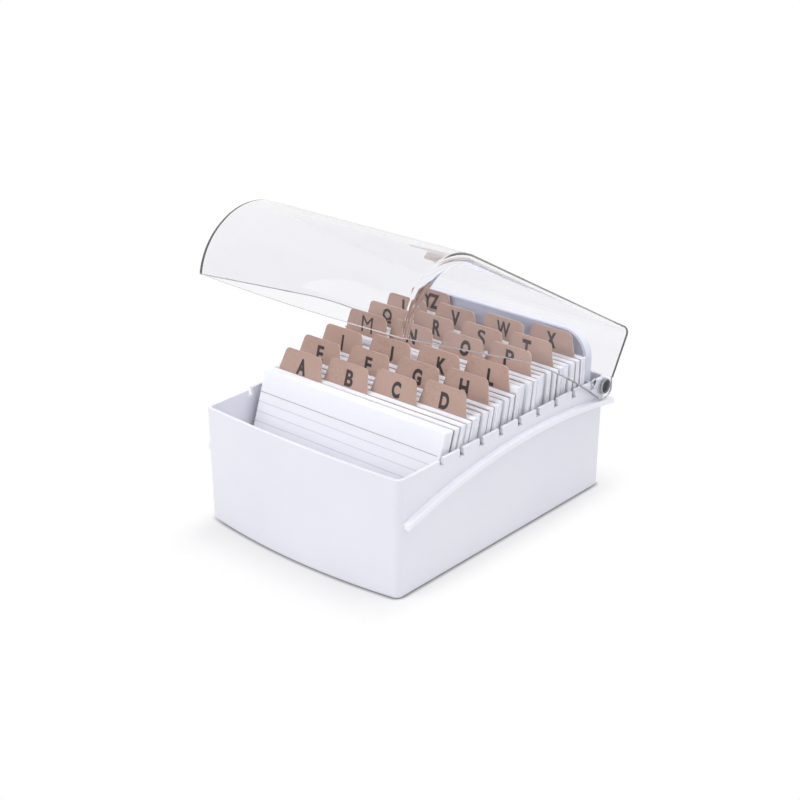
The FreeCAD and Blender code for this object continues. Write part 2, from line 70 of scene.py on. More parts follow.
# how far a guide has slid aside, how far its letter is off its tab's middle, and how far it
# stands off the tray's floor
SLID = {
    "A": 1.4, "B": 1.4, "C": 1.7, "D": 1.6, "E": -1.7, "F": 0.3, "G": 1.7, "H": 1.7, "I": -1.7,
    "K": 1.0, "L": 1.0, "N": -0.8, "O": 1.7, "P": 0.8, "Q": -0.5, "R": -0.6, "S": 0.5, "T": 1.0,
    "U": -1.7, "V": 0.5, "W": 1.7, "X": 1.7, "YZ": 0.8}
NUDGED = {
    "A": 0.4, "B": 1.7, "C": 1.1, "D": 0.6, "H": -1.4, "J": 0.4, "K": 2.1, "L": 2.7, "O": 2.1,
    "R": 2.5, "T": -2.5}
RAISED = {
    "M": 2.9, "N": 2.4, "O": 2.4, "P": 2.2, "Q": 2.0, "R": 1.8, "S": 1.7, "T": 1.6, "U": 1.5,
    "V": 1.4, "W": 1.3, "X": 1.2, "YZ": 1.0}

# tray
FLOOR, WALL = 2.2, 1.9
HALF_BASE, HALF_RIM, RIM_Z = 67.5, 68.7, 65.0
RIM_FRONT, RIM_REAR, BASE_END = -80.3, 84.3, 82.0
BASE_BOW, RIM_BOW, BOW_STEPS, CORNER_STEPS, FRONT_STEP = 5.8, 2.4, 24, 6, 0.8
CORNER, LEAST_CORNER, FOOT, RIM_ROUND, INNER_ROUND = 4.0, 0.6, 1.2, 0.45, 1.6
NOTCHES = [-49.7 + 15.1 * k for k in range(9)]
NOTCH_Z, NOTCH_HALF, NOTCH_FOOT_HALF, NOTCH_FOOT_H, NOTCH_SPARE = 60.5, 1.3, 1.9, 0.9, 0.4
RAIL_CREST, RAIL_Y, RAIL_BEND, RAIL_OUT, RAIL_T = 56.4, 26.0, 350.0, 72.0, 3.2
RAIL_FRONT, RAIL_REAR = RIM_FRONT + 2.6, RIM_REAR + 3.8
RAIL_INSIDE, RAIL_BACK, RAIL_STEPS = 67.6, 83.0, 60

# hinge and rivets
HINGE_Y, HINGE_Z, HINGE_HOLE = 80.0, 60.2, 2.46
BOSS_R, BOSS_IN, BOSS_OUT = 4.6, 66.9, 69.15
HEAD_LOW, HEAD_EDGE, HEAD_TOP, HEAD_R, CROWN_R, SHANK_R = 71.4, 72.0, 73.3, 4.4, 3.5, 2.4

# lid, closed
LID_OUT, LID_WALL, LID_TOP, LID_GAP = 71.3, 2.0, 94.6, 0.4
NOSE_Y, NOSE_R, LIP_REACH, LID_BOW = -59.5, 36.0, 33.6, 4.0
KNEE_Y, BACK_R, BACK_EDGE = -20.0, 4.5, 66.2
LIP_SOFT, TOP_SOFT, BACK_SOFT = 2.4, 4.5, 3.2
LIP_STEPS, NOSE_STEPS, TOP_STEPS, BACK_STEPS = 28, 64, 12, 8
TURN_STEPS, FLAT_STEPS, EDGE_STEPS = 14, 24, 40
LAST_STATION = 2 * TURN_STEPS + FLAT_STEPS
MARK_Y, MARK_Z, MARK_HALF, MARK_R = 69.6, 59.9, 1.05, 0.85
# strips of painted shade along the lid's lower edges: their height, how far they stand out, and
# how far towards the lip they reach
SHADE_STRIP_H, SHADE_STRIP_OUT, SHADE_STRIP_SHARE = 0.55, 0.02, 0.96
OPENED = math.radians(30.7)

# backrest plate and the returned edge behind it
PLATE_Y, PLATE_T, PLATE_TILT = 66.85, 2.0, 0.07
FLANGE_HALF, FLANGE_TOP, FLANGE_TURN, FLANGE_T = 62.8, 88.0, 15.0, 1.6
FLANGE_LOW, FLANGE_STRAIGHT, FLANGE_NEAR, FLANGE_FAR = 0.6, 40.0, 0.9, 6.3


# ---- mesh helpers ----

def new_mesh(name, verts, faces):
    """A mesh from vertices in millimetres."""
    mesh = bpy.data.meshes.new(name)
    mesh.from_pydata([Vector(v) * MM for v in verts], [], faces)
    return mesh


def face_outwards(mesh):
    shape = bmesh.new()
    shape.from_mesh(mesh)
    bmesh.ops.recalc_face_normals(shape, faces=shape.faces)
    shape.to_mesh(mesh)
    shape.free()


def shown(name, data):
    """An object in the scene."""
    item = bpy.data.objects.new(name, data)
    bpy.context.scene.collection.objects.link(item)
    return item


def evaluated_mesh(item):
    """A new mesh with the object's modifiers applied, or its curves filled."""
    bpy.context.view_layer.update()
    shape = item.evaluated_get(bpy.context.evaluated_depsgraph_get())
    return bpy.data.meshes.new_from_object(shape)


def make(name, verts, faces, body, materials, node=None, smooth=True):
    """A piece that rides on a body, and stands for a node if one is given."""
    mesh = new_mesh(name, verts, faces)
    mesh.validate()
    piece = shown(name, mesh)
    for material in materials:
        mesh.materials.append(material)
    face_outwards(mesh)
    if smooth:
        mesh.shade_smooth()
    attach(piece, body)
    if node:
        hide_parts(node)
    return piece


def bevel(piece, width, segments):
    """Rounds the edges sharper than 50 degrees and keeps the flats looking flat."""
    modifier = piece.modifiers.new("edges", "BEVEL")
    modifier.width = width * MM
    modifier.segments = segments
    modifier.limit_method = "ANGLE"
    modifier.angle_limit = math.radians(50)
    weighted = piece.modifiers.new("normals", "WEIGHTED_NORMAL")
    weighted.keep_sharp = True
    weighted.weight = 80


def cut_with(piece, verts, faces):
    """Cuts a solid out of a piece, and applies the piece's modifiers."""
    mesh = new_mesh("cutter", verts, faces)
    face_outwards(mesh)
    cutter = shown("cutter", mesh)
    modifier = piece.modifiers.new("cut", "BOOLEAN")
    modifier.operation = "DIFFERENCE"
    modifier.solver = "EXACT"
    modifier.object = cutter
    result, old = evaluated_mesh(piece), piece.data
    piece.modifiers.clear()
    piece.data = result
    result.name = old.name
    bpy.data.meshes.remove(old)
    bpy.data.objects.remove(cutter)


def strip(row, after, count, closed=False):
    """Faces between two rows of vertices that start at these indices."""
    return [[row + i, row + (i + 1) % count, after + (i + 1) % count, after + i]
            for i in range(count if closed else count - 1)]


def prism(outline, low, high):
    """Vertices and faces of an outline in (y, z) pushed along X."""
    count = len(outline)
    verts = [(low, y, z) for y, z in outline] + [(high, y, z) for y, z in outline]
    faces = [list(range(count))[::-1], list(range(count, 2 * count))]
    return verts, faces + strip(0, count, count, True)


def side_prism(outline, side, near, far):
    """A prism between two distances from the middle, on one side."""
    return prism(outline, *sorted((near * side, far * side)))


def joined(parts):
    """Several (vertices, faces) pairs as one."""
    verts, faces = [], []
    for part_verts, part_faces in parts:
        start = len(verts)
        verts += part_verts
        faces += [[start + index for index in face] for face in part_faces]
    return verts, faces


def turned(profile):
    """A round solid about the X axis from (x, radius) pairs, both ends on the axis."""
    segments, count = 64, len(profile)
    verts, faces = [], []
    for step in range(segments):
        angle = 2 * math.pi * step / segments
        verts += [(x, r * math.cos(angle), r * math.sin(angle)) for x, r in profile]
        faces += strip(step * count, (step + 1) % segments * count, count)
    return verts, faces


def arc(centre, radius, start, end, steps):
    """Points of an arc in a plane, its angles in degrees."""
    points = []
    for step in range(steps + 1):
        angle = math.radians(start + (end - start) * step / steps)
        points.append((centre[0] + radius * math.cos(angle), centre[1] + radius * math.sin(angle)))
    return points


def hinge_circle(radius):
    """A circle of 48 points about the hinge, in (y, z)."""
    points = 48
    return arc((HINGE_Y, HINGE_Z), radius, 0, 360 - 360 / points, points - 1)


# ---- materials ----

class Nodes:
    """A node tree with short calls, in which a source is a socket or a constant."""

    def __init__(self, tree):
        self.tree = tree

    def feed(self, source, target):
        if isinstance(source, bpy.types.NodeSocket):
            self.tree.links.new(source, target)
        else:
            target.default_value = source

    def add(self, kind, *sources, **values):
        """A node whose first inputs get the sources, and its other settings by name."""
        node = self.tree.nodes.new(kind)
        for key, value in values.items():
            if key in node.inputs:
                self.feed(value, node.inputs[key])
            else:
                setattr(node, key, value)
        for source, target in zip(sources, node.inputs):
            self.feed(source, target)
        return node

    def math(self, operation, *sources):
        return self.add("ShaderNodeMath", *sources, operation=operation).outputs[0]

    def vector(self, operation, *sources):
        node = self.add("ShaderNodeVectorMath", *sources, operation=operation)
        return node.outputs["Value" if operation == "LENGTH" else "Vector"]

    def place(self):
        return self.add("ShaderNodeTexCoord").outputs["Object"]

    def split(self, vector):
        return self.add("ShaderNodeSeparateXYZ", vector).outputs

    def noise(self, scale, detail=3.0):
        node = self.add("ShaderNodeTexNoise", self.place(), Scale=scale, Detail=detail)
        return node.outputs["Fac"]

    def ramp(self, source, low, high, start=0.3, end=0.7):
        """A colour that runs from low at the start to high at the end."""
        node = self.add("ShaderNodeValToRGB", source)
        for element, position, colour in zip(node.color_ramp.elements, (start, end), (low, high)):
            element.position = position
            element.color = colour
        return node.outputs["Color"]

    def span(self, source, low, high, start=0.0, end=1.0, kind="LINEAR"):
        """A number that runs from low at the start to high at the end."""
        sources = source, start, end, low, high
        return self.add("ShaderNodeMapRange", *sources, interpolation_type=kind).outputs["Result"]

    def mix(self, factor, first, second, kind="MIX"):
        node = self.add("ShaderNodeMix", factor, data_type="RGBA", blend_type=kind)
        first_colour, second_colour = node.inputs[6], node.inputs[7]
        self.feed(first, first_colour)
        self.feed(second, second_colour)
        return node.outputs[2]

    def rays(self, name):
        return self.add("ShaderNodeLightPath").outputs[name]

    def looked_at(self):
        """1 for the rays that show what is there: camera, transmission and glossy rays."""
        direct = self.math("MAXIMUM", self.rays("Is Camera Ray"), self.rays("Is Transmission Ray"))
        return self.math("MAXIMUM", direct, self.rays("Is Glossy Ray"))


class Look(Nodes):
    """A material, with the inputs of its shader set by name."""

    def __init__(self, name):
        self.material = bpy.data.materials.new(name)
        self.material.use_nodes = True
        super().__init__(self.material.node_tree)
        self.shader = self.tree.nodes["Principled BSDF"]

    def set(self, **values):
        for key, value in values.items():
            self.feed(value, self.shader.inputs[key.replace("_", " ")])

    def bump(self, height, strength, distance):
        node = self.add("ShaderNodeBump", Height=height, Strength=strength, Distance=distance)
        self.set(Normal=node.outputs["Normal"])


def rgb(red, green, blue):
    return (red, green, blue, 1)


def plastic(name, light, dark, rough):
    """White moulded plastic, very slightly cloudy and uneven."""
    look = Look(name)
    look.set(Base_Color=look.ramp(look.noise(22.0), dark, light), IOR=1.49,
             Roughness=look.span(look.noise(90.0), rough - 0.05, rough + 0.07))
    look.bump(look.noise(1400.0, 2.0), 0.06, 0.0002)
    return look.material


def clear_plastic():
    """Clear moulded plastic, with painted shade that greys it where its wall turns away from the
    viewer.

    It is nearly open to light for the shadows, and a little open to a ray that has already
    bounced about in it, so that its folded edges come out grey and not black.
    """
    look = Look("clear_lid")
    cloud = look.ramp(look.noise(9.0), rgb(0.93, 0.93, 0.95), rgb(0.955, 0.955, 0.97))
    facing = look.add("ShaderNodeLayerWeight", Blend=0.5).outputs["Facing"]
    # painted shade: the colour greys towards grazing angles, standing in for the darker edges of
    # the clear wall
    rim = look.ramp(facing, rgb(1, 1, 1), rgb(0.45, 0.46, 0.49), 0.95, 0.985)
    bounced = look.math("GREATER_THAN", look.rays("Ray Depth"), 4.5)
    alpha = look.math("MULTIPLY", look.span(look.rays("Is Shadow Ray"), 1.0, 0.04),
                      look.span(bounced, 1.0, 0.88))
    look.set(Base_Color=look.mix(1.0, cloud, rim, "MULTIPLY"), Alpha=alpha,
             Roughness=look.span(look.noise(40.0), 0.0, 0.012),
             IOR=1.33, Transmission_Weight=1.0, Specular_Tint=rgb(0.2, 0.2, 0.2))
    return look.material


def clear_edge_shade(name, dark, light, left):
    """Painted shade for the clear wall's cut edges: a grey in place of clear plastic, paler
    towards the left side.
    """
    look = Look(name)
    across = look.span(look.split(look.place())["X"], 0.0, 1.0, -LID_OUT * MM, 0.0)
    look.set(Base_Color=look.mix(across, left, look.ramp(look.noise(30.0), dark, light)),
             Roughness=look.span(look.noise(60.0), 0.12, 0.25),
             Alpha=look.span(look.rays("Is Shadow Ray"), 1.0, 0.3),
             IOR=1.33, Transmission_Weight=0.45)
    return look.material


def metal(name, dark, light):
    look = Look(name)
    look.set(Base_Color=look.ramp(look.noise(300.0), dark, light), Metallic=1.0,
             Roughness=look.span(look.noise(700.0), 0.1, 0.24))
    return look.material


def kraft():
    """Brown board with short fibres in broad clouds."""
    look = Look("kraft_board")
    fibre = look.noise(700.0, 6.0)
    both = look.math("ADD", fibre, look.noise(45.0))
    look.set(Base_Color=look.ramp(both, rgb(0.41, 0.28, 0.235), rgb(0.46, 0.32, 0.27), 0.7, 1.0),
             Roughness=0.85, Specular_IOR_Level=0.12)
    look.bump(fibre, 0.1, 0.0001)
    return look.material


def board_edge(name, dark, light):
    """A cut edge of the board, uneven along its length. Its colours are painted light and shade:
    dark on the sides and shoulders, light on the tab.
    """
    look = Look(name)
    look.set(Base_Color=look.ramp(look.noise(110.0), dark, light, 0.42, 0.66), Roughness=0.85)
    return look.material


def paper(name, low, high):
    look = Look(name)
    grain = look.noise(900.0, 4.0)
    look.set(Base_Color=look.ramp(grain, low, high), Roughness=0.72)
    look.bump(grain, 0.12, 0.0001)
    return look.material


def ink(name, low, high):
    look = Look(name)
    look.set(Base_Color=look.ramp(look.noise(1500.0), low, high), Roughness=0.6)
    return look.material


TRAY = plastic("tray_white", rgb(0.80, 0.80, 0.87), rgb(0.775, 0.775, 0.85), 0.36)
# painted light: a lighter copy of the tray's white for the rail, which catches more light from
# above than the wall
RAIL_LIT = plastic("rail_painted_light", rgb(0.875, 0.878, 0.94), rgb(0.85, 0.853, 0.92), 0.3)
# painted shade: the plate and its returned edge are the tray's white plastic darkened into shaded
# copies, the plate's face the most
PLATE_SHADED = plastic("plate_painted_shade", rgb(0.45, 0.47, 0.57), rgb(0.41, 0.43, 0.535), 0.38)
FLANGE_SHADED = plastic("plate_flange_painted_shade", rgb(0.70, 0.71, 0.78), rgb(0.66, 0.675, 0.75), 0.38)
CLEAR = clear_plastic()
# painted shade: grey cut edges of the lid's wall in place of clear plastic
CLEAR_EDGE_SHADE = clear_edge_shade(
    "clear_lid_cut_shade", rgb(0.26, 0.265, 0.29), rgb(0.40, 0.405, 0.43), rgb(0.55, 0.55, 0.58))
# painted shade: grey strips along the lid's lower edges
CLEAR_SHADE_STRIP = clear_edge_shade(
    "clear_lid_shade_strip", rgb(0.52, 0.52, 0.55), rgb(0.64, 0.64, 0.67), rgb(0.70, 0.70, 0.73))
CHROME = metal("rivet_metal", rgb(0.28, 0.284, 0.29), rgb(0.42, 0.426, 0.435))
# painted reflection: a much darker copy of the rivet metal for the middle of the dome
CROWN_REFLECTION = metal("rivet_crown_painted_reflection", rgb(0.04, 0.044, 0.05), rgb(0.11, 0.116, 0.125))
KRAFT = kraft()
# painted shade on the board's sides and shoulders, painted light on its tab edges
BOARD_EDGE_SHADE = board_edge("kraft_cut_side_painted_shade", rgb(0.05, 0.05, 0.07), rgb(0.46, 0.46, 0.52))
BOARD_TOP_LIT = board_edge("kraft_cut_top_painted_light", rgb(0.50, 0.37, 0.32), rgb(0.62, 0.49, 0.44))
CARD = paper("card_white", rgb(0.90, 0.91, 0.96), rgb(0.93, 0.94, 0.985))
CARD_EDGE = paper("card_cut_edge", rgb(0.84, 0.86, 0.94), rgb(0.93, 0.94, 0.99))
INK = ink("letter_ink", rgb(0.022, 0.015, 0.017), rgb(0.04, 0.03, 0.032))
RULE = ink("rule_ink", rgb(0.58, 0.58, 0.66), rgb(0.68, 0.68, 0.75))
HEADER = ink("header_rule_ink", rgb(0.42, 0.40, 0.44), rgb(0.52, 0.50, 0.53))


# ---- tray ----

def tray_loop(half, front, rear, bow, turn, z):
    """The tray's rounded outline at a height, with spare points beside the first notch."""
    bend = (half * half + bow * bow) / (2 * bow)
    near = half - turn
    middle = front - bow + bend
    start = middle - math.sqrt(bend * bend - near * near)
    before, after = NOTCHES[0] - NOTCH_SPARE, NOTCHES[0] + NOTCH_SPARE
    points = []
    for step in range(BOW_STEPS + 1):
        x = -near + 2 * near * step / BOW_STEPS
        points.append((x, middle - math.sqrt(bend * bend - x * x)))
    points += arc((near, start + turn), turn, -90, 0, CORNER_STEPS)[1:]
    points += [(half, before), (half, after)]
    points += arc((near, rear - turn), turn, 0, 90, CORNER_STEPS)
    points += arc((-near, rear - turn), turn, 90, 180, CORNER_STEPS)
    points += [(-half, after), (-half, before)]
    points += arc((-near, start + turn), turn, 180, 270, CORNER_STEPS)[:-1]
    return [(x, y, z) for x, y in points]


def tray_level(z, inset):
    """Loop at a height on the tray's outside, moved inwards by the inset."""
    share = (z - FOOT) / (RIM_Z - FOOT)
    half = HALF_BASE + (HALF_RIM - HALF_BASE) * z / RIM_Z
    front = -BASE_END + (RIM_FRONT + BASE_END) * share
    rear = BASE_END + (RIM_REAR - BASE_END) * share
    bow = BASE_BOW + (RIM_BOW - BASE_BOW) * share
    turn = max(CORNER - inset, LEAST_CORNER)
    return tray_loop(half - inset, front + inset, rear - inset, bow, turn, z)


def turn_steps(steps, end):
    """Sine and cosine at even steps from 0 to the end angle."""
    angles = [end * step / steps for step in range(steps + 1)]
    return [(math.sin(angle), math.cos(angle)) for angle in angles]


def tray_loops():
    """Up the outside from the rounded foot, over the rim and down the inside to the floor."""
    foot, rim = turn_steps(4, math.pi / 2), turn_steps(8, math.pi)
    loops = [tray_level(FOOT * (1 - cos), FOOT * (1 - sin)) for sin, cos in foot]
    loops += [tray_level(FOOT + (RIM_Z - FOOT) * share, 0) for share in (0.25, 0.5, 0.75)]
    loops += [tray_level(RIM_Z - RIM_ROUND + RIM_ROUND * sin, WALL / 2 * (1 - cos))
              for sin, cos in rim]
    loops += [tray_level(FLOOR + (RIM_Z - FLOOR) * share, WALL) for share in (0.75, 0.5, 0.25)]
    loops += [tray_level(FLOOR + INNER_ROUND * (1 - sin), WALL + INNER_ROUND * (1 - cos))
              for sin, cos in foot]
    return loops


def notch_outline(y):
    """A notch in the rim with a wider foot, open above, in (y, z)."""
    slim, wide, step_z, above = NOTCH_HALF, NOTCH_FOOT_HALF, NOTCH_Z + NOTCH_FOOT_H, 70
    return [(y - wide, NOTCH_Z), (y + wide, NOTCH_Z), (y + wide, step_z), (y + slim, step_z),
            (y + slim, above), (y - slim, above), (y - slim, step_z), (y - wide, step_z)]


def build_tray():
    """The tray's shell, with a slightly lower rim in front of the first notch."""
    loops = tray_loops()
    count, verts, faces = len(loops[0]), [], []
    for x, y, z in [point for loop in loops for point in loop]:
        low = FRONT_STEP if y < NOTCHES[0] and z > RIM_Z - 1 else 0.0
        verts.append((x, y, z - low))
    for row in range(len(loops) - 1):
        faces += strip(row * count, (row + 1) * count, count, True)
    faces.append(list(range(count)))
    faces.append(list(range((len(loops) - 1) * count, len(loops) * count)))
    piece = make("tray_shell", verts, faces, "tray", [TRAY], "tray")
    notches = [side_prism(notch_outline(y), side, 60, 75) for y in NOTCHES for side in (-1, 1)]
    cut_with(piece, *joined(notches))
    bevel(piece, 0.22, 2)


def rail_top(y, lift=0.0):
    reach = RAIL_BEND + lift
    return RAIL_CREST - RAIL_BEND + math.sqrt(reach * reach - (y - RAIL_Y) ** 2)


def build_rails():
    """The ledge along both sides and round the back."""
    reach, steps = RAIL_REAR - RAIL_FRONT, range(RAIL_STEPS + 1)
    places = [RAIL_FRONT + reach * step / RAIL_STEPS for step in steps]
    outline = [(y, rail_top(y)) for y in places]
    outline += [(y, rail_top(y) - RAIL_T) for y in reversed(places)]
    piece = make("tray_rail", *prism(outline, -RAIL_OUT, RAIL_OUT), "tray", [RAIL_LIT])
    inside = [(-100, 20), (RAIL_BACK, 20), (RAIL_BACK, 70), (-100, 70)]
    cut_with(piece, *prism(inside, -RAIL_INSIDE, RAIL_INSIDE))
    bevel(piece, 0.6, 3)


def build_bosses():
    for side, name in SIDES:
        shape = side_prism(hinge_circle(BOSS_R), side, BOSS_IN, BOSS_OUT)
        piece = make("hinge_boss_" + name, *shape, "tray", [TRAY])
        bevel(piece, 0.2, 2)


# ---- lid ----

EAR_LOW = rail_top(HINGE_Y, LID_GAP)
LID_REAR = HINGE_Y + HINGE_Z - EAR_LOW


def opened(x, y, z):
    """A point of the closed lid, turned with it to where it stands open."""
    cos, sin = math.cos(OPENED), math.sin(OPENED)
    across, up = y - HINGE_Y, z - HINGE_Z
    return (x, HINGE_Y + across * cos + up * sin, HINGE_Z - across * sin + up * cos)


def opened_outline(points):
    return [opened(0, y, z)[1:] for y, z in points]


def lid_profile():
    """The lid's outside in the middle, from its lip over the top to the foot of its back.

    Each row has y, z, the normal into the wall, and the share of the front's bow there.
    """
    nose_z, corner_y, corner_z = LID_TOP - NOSE_R, LID_REAR - BACK_R, LID_TOP - BACK_R
    lip = 180 + math.degrees(math.asin(math.sqrt(NOSE_R ** 2 - LIP_REACH ** 2) / NOSE_R))
    rows = []
    for y, z in arc((0, 0), 1, lip, 90, NOSE_STEPS):
        rows.append((NOSE_Y + NOSE_R * y, nose_z + NOSE_R * z, -y, -z, y ** 2))
    for step in range(1, TOP_STEPS):
        share = step / TOP_STEPS
        rows.append((NOSE_Y + (corner_y - NOSE_Y) * share, LID_TOP, 0.0, -1.0, 0.0))
    for y, z in arc((0, 0), 1, 90, 0, BACK_STEPS):
        rows.append((corner_y + BACK_R * y, corner_z + BACK_R * z, -y, -z, 0.0))
    for share in (0.5, 1.0):
        rows.append((LID_REAR, corner_z + (BACK_EDGE - corner_z) * share, -1.0, 0.0, 0.0))
    return rows


def softness(index):
    """Radius between the lid's side and this row of its profile."""
    if index < LIP_STEPS:
        return LIP_SOFT + (TOP_SOFT - LIP_SOFT) * index / LIP_STEPS
    return TOP_SOFT if index < NOSE_STEPS + TOP_STEPS else BACK_SOFT


def lid_station(station, soft):
    """X of a station across the lid, and how far in from the profile it is there."""
    flat, step = LID_OUT - soft, min(station, LAST_STATION - station)
    if step >= TURN_STEPS:
        return flat * (1 - 2 * (station - TURN_STEPS) / FLAT_STEPS), 0.0
    angle = math.pi / 2 * step / TURN_STEPS
    x, inset = flat + soft * math.cos(angle), soft * (1 - math.sin(angle))
    return x if station < TURN_STEPS else -x, inset


def lid_edge_line():
    """The side walls' lower edge, round the ear at the hinge and then along the rail."""
    ear = arc((HINGE_Y, HINGE_Z), HINGE_Z - EAR_LOW, 0, -90, 12)
    steps = range(1, EDGE_STEPS + 1)
    places = [HINGE_Y + (KNEE_Y - HINGE_Y) * step / EDGE_STEPS for step in steps]
    return ear, [(y, rail_top(y, LID_GAP)) for y in places]


def build_lid_edges(lip, edge):
    """Thin strips of painted shade along the lower edges of the side walls, where the clear wall
    reads grey.
    """
    line = edge + [tuple(a + (b - a) * SHADE_STRIP_SHARE for a, b in zip(edge[-1], lip))]
    inner = []
    for index, (y, z) in enumerate(line):
        before, after = line[max(index - 1, 0)], line[min(index + 1, len(line) - 1)]
        along = Vector((after[0] - before[0], after[1] - before[1])).normalized()
        inner.append((y + along.y * SHADE_STRIP_H, z - along.x * SHADE_STRIP_H))
    ring = opened_outline(line + inner[::-1])
    for side, name in SIDES:
        shape = side_prism(ring, side, LID_OUT - LID_WALL, LID_OUT + SHADE_STRIP_OUT)
        piece = make("lid_edge_" + name, *shape, "lid", [CLEAR_SHADE_STRIP], smooth=False)


def lid_holes():
    """The hinge holes and the small marks beside them, through both side walls."""
    mark = arc((MARK_Y, MARK_Z + MARK_HALF), MARK_R, 0, 180, 10)
    mark += arc((MARK_Y, MARK_Z - MARK_HALF), MARK_R, 180, 360, 10)
    holes = [opened_outline(hole) for hole in (hinge_circle(HINGE_HOLE), mark)]
    return joined([side_prism(hole, side, 60, 80) for side, _ in SIDES for hole in holes])


def build_lid():
    """The outside as one sheet with its two flat sides, thickened inwards into a wall."""
    profile = lid_profile()
    count, verts, faces = len(profile), [], []
    for station in range(LAST_STATION + 1):
        for index, (y, z, in_y, in_z, share) in enumerate(profile):
            x, inset = lid_station(station, softness(index))
            inwards = inset - LID_BOW * (1 - (x / LID_OUT) ** 2) * share
            verts.append(opened(x, y + in_y * inwards, z + in_z * inwards))
    for row in range(LAST_STATION):
        faces += strip(row * count, (row + 1) * count, count)
    ear, edge = lid_edge_line()
    for row, side in ((0, 1), (LAST_STATION, -1)):
        start = len(verts)
        verts += [opened(LID_OUT * side, y, z) for y, z in ear + edge]
        faces.append(list(range(row * count, (row + 1) * count)) + list(range(start, len(verts))))
    piece = make("lid_shell", verts, faces, "lid", [CLEAR, CLEAR_EDGE_SHADE], "lid")
    wall = piece.modifiers.new("wall", "SOLIDIFY")
    wall.thickness = LID_WALL * MM
    wall.offset = -1
    wall.use_even_offset = True
    wall.material_offset_rim = 1
    build_lid_edges(profile[0][:2], edge)
    cut_with(piece, *lid_holes())
    bevel(piece, 0.5, 3)


# ---- rivets and backrest ----

def build_rivets():
    """Domed caps outside the lid, and posts that end inside the tray."""
    rise, steps = HEAD_TOP - HEAD_EDGE, 12
    radius = (HEAD_R * HEAD_R + rise * rise) / (2 * rise)
    cap = [(BOSS_OUT, 0), (BOSS_OUT, SHANK_R), (HEAD_LOW, SHANK_R), (HEAD_LOW, HEAD_R - 0.2),
           (HEAD_LOW + 0.2, HEAD_R), (HEAD_EDGE - 0.1, HEAD_R)]
    for step in range(1, steps):
        r = HEAD_R * (1 - step / steps)
        cap.append((HEAD_TOP - radius + math.sqrt(radius * radius - r * r), r))
    cap.append((HEAD_TOP, 0))
    post = [(65.87, 0), (66.0, 1.2), (66.36, 2.1), (66.77, 2.1), (66.77, 1.5), (BOSS_OUT, 1.5),
            (BOSS_OUT, 0)]
    for side, name in SIDES:
        for part, profile in (("cap", cap), ("post", post)):
            verts, faces = turned(profile)
            verts = [(x * side, y + HINGE_Y, z + HINGE_Z) for x, y, z in verts]
            piece = make("rivet_%s_%s" % (part, name), verts, faces, "tray", [CHROME, CROWN_REFLECTION],
                         "hinge_rivet_%s_%s" % (part, name))
            # painted reflection: the middle of the dome gets the darker copy of the rivet metal
            for polygon in piece.data.polygons:
                x, y, z = polygon.center / MM
                on_dome = abs(x) > HEAD_EDGE and math.hypot(y - HINGE_Y, z - HINGE_Z) < CROWN_R
                polygon.material_index = int(part == "cap" and on_dome)
            piece.data.set_sharp_from_angle(angle=math.radians(40))


def build_backrest():
    """The plate keeps its own mesh. Its returned edge is an arch behind it."""
    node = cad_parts["backrest_plate"]
    node.data.materials.clear()
    # the plate's white carries painted shade
    node.data.materials.append(PLATE_SHADED)
    place = leaned(PLATE_Y, PLATE_TILT, PLATE_T / 2 * PLATE_TILT)
    centre, loops = (FLANGE_HALF - FLANGE_TURN, FLANGE_TOP - FLANGE_TURN), []
    for inset in (0.0, FLANGE_T):
        loop = [(FLANGE_HALF - inset, FLANGE_LOW), (FLANGE_HALF - inset, FLANGE_STRAIGHT)]
        loop += arc(centre, FLANGE_TURN - inset, 0, 90, 10)
        loops.append(loop + [(-x, up) for x, up in reversed(loop)])
    verts = [place(x, depth, up) for depth in (FLANGE_NEAR, FLANGE_FAR)
             for loop in loops for x, up in loop]
    count, faces = len(loops[0]), []
    for index in range(count - 1):
        for first, second in ((0, 1), (2, 3), (0, 2), (1, 3)):
            a, b = first * count + index, second * count + index
            faces.append([a, a + 1, b + 1, b])
    for index in (0, count - 1):
        faces.append([index, count + index, 3 * count + index, 2 * count + index])
    piece = make("backrest_flange", verts, faces, "tray", [FLANGE_SHADED])
    bevel(piece, 0.3, 2)


# ---- guides and cards ----

def between(first, last, station):
    """A value that runs evenly from the first guide to the last."""
    return first + (last - first) * station / (len(LETTERS) - 1)


def tilt_at(station):
    return between(FIRST_TILT, LAST_TILT, station)


def foot_at(station):
    return between(FIRST_FOOT, LAST_FOOT, station)


def rise_of(tilt):
    """The cosine of the lean."""
    return math.sqrt(1 - tilt * tilt)


def leaned(foot, tilt, lift):
    """Turns (across, depth behind its middle, up) of a flat piece into its leaning place."""
    rise = rise_of(tilt)

    def place(across, depth, up):
        return (across, foot + depth * rise + up * tilt,
                FLOOR + lift - depth * tilt + up * rise)
    return place


def rounded_tab(middle):
    """Outline of a guide's upper edge round its tab, from right to left."""
    base, crown, centre_up = TAB_BASE / 2, TAB_CROWN / 2, CARD_H + TAB_H - TAB_ROUND
    slope = math.degrees(math.atan2(TAB_H, base - crown))
    spread = TAB_ROUND / math.tan(math.radians(180 - slope) / 2)
    right, left = middle + crown - spread, middle - crown + spread
    points = [(middle + base, CARD_H)]
    points += arc((right, centre_up), TAB_ROUND, 90 - slope, 90, 7)
    points += arc((left, centre_up), TAB_ROUND, 90, 90 + slope, 7)
    return points + [(middle - base, CARD_H)]


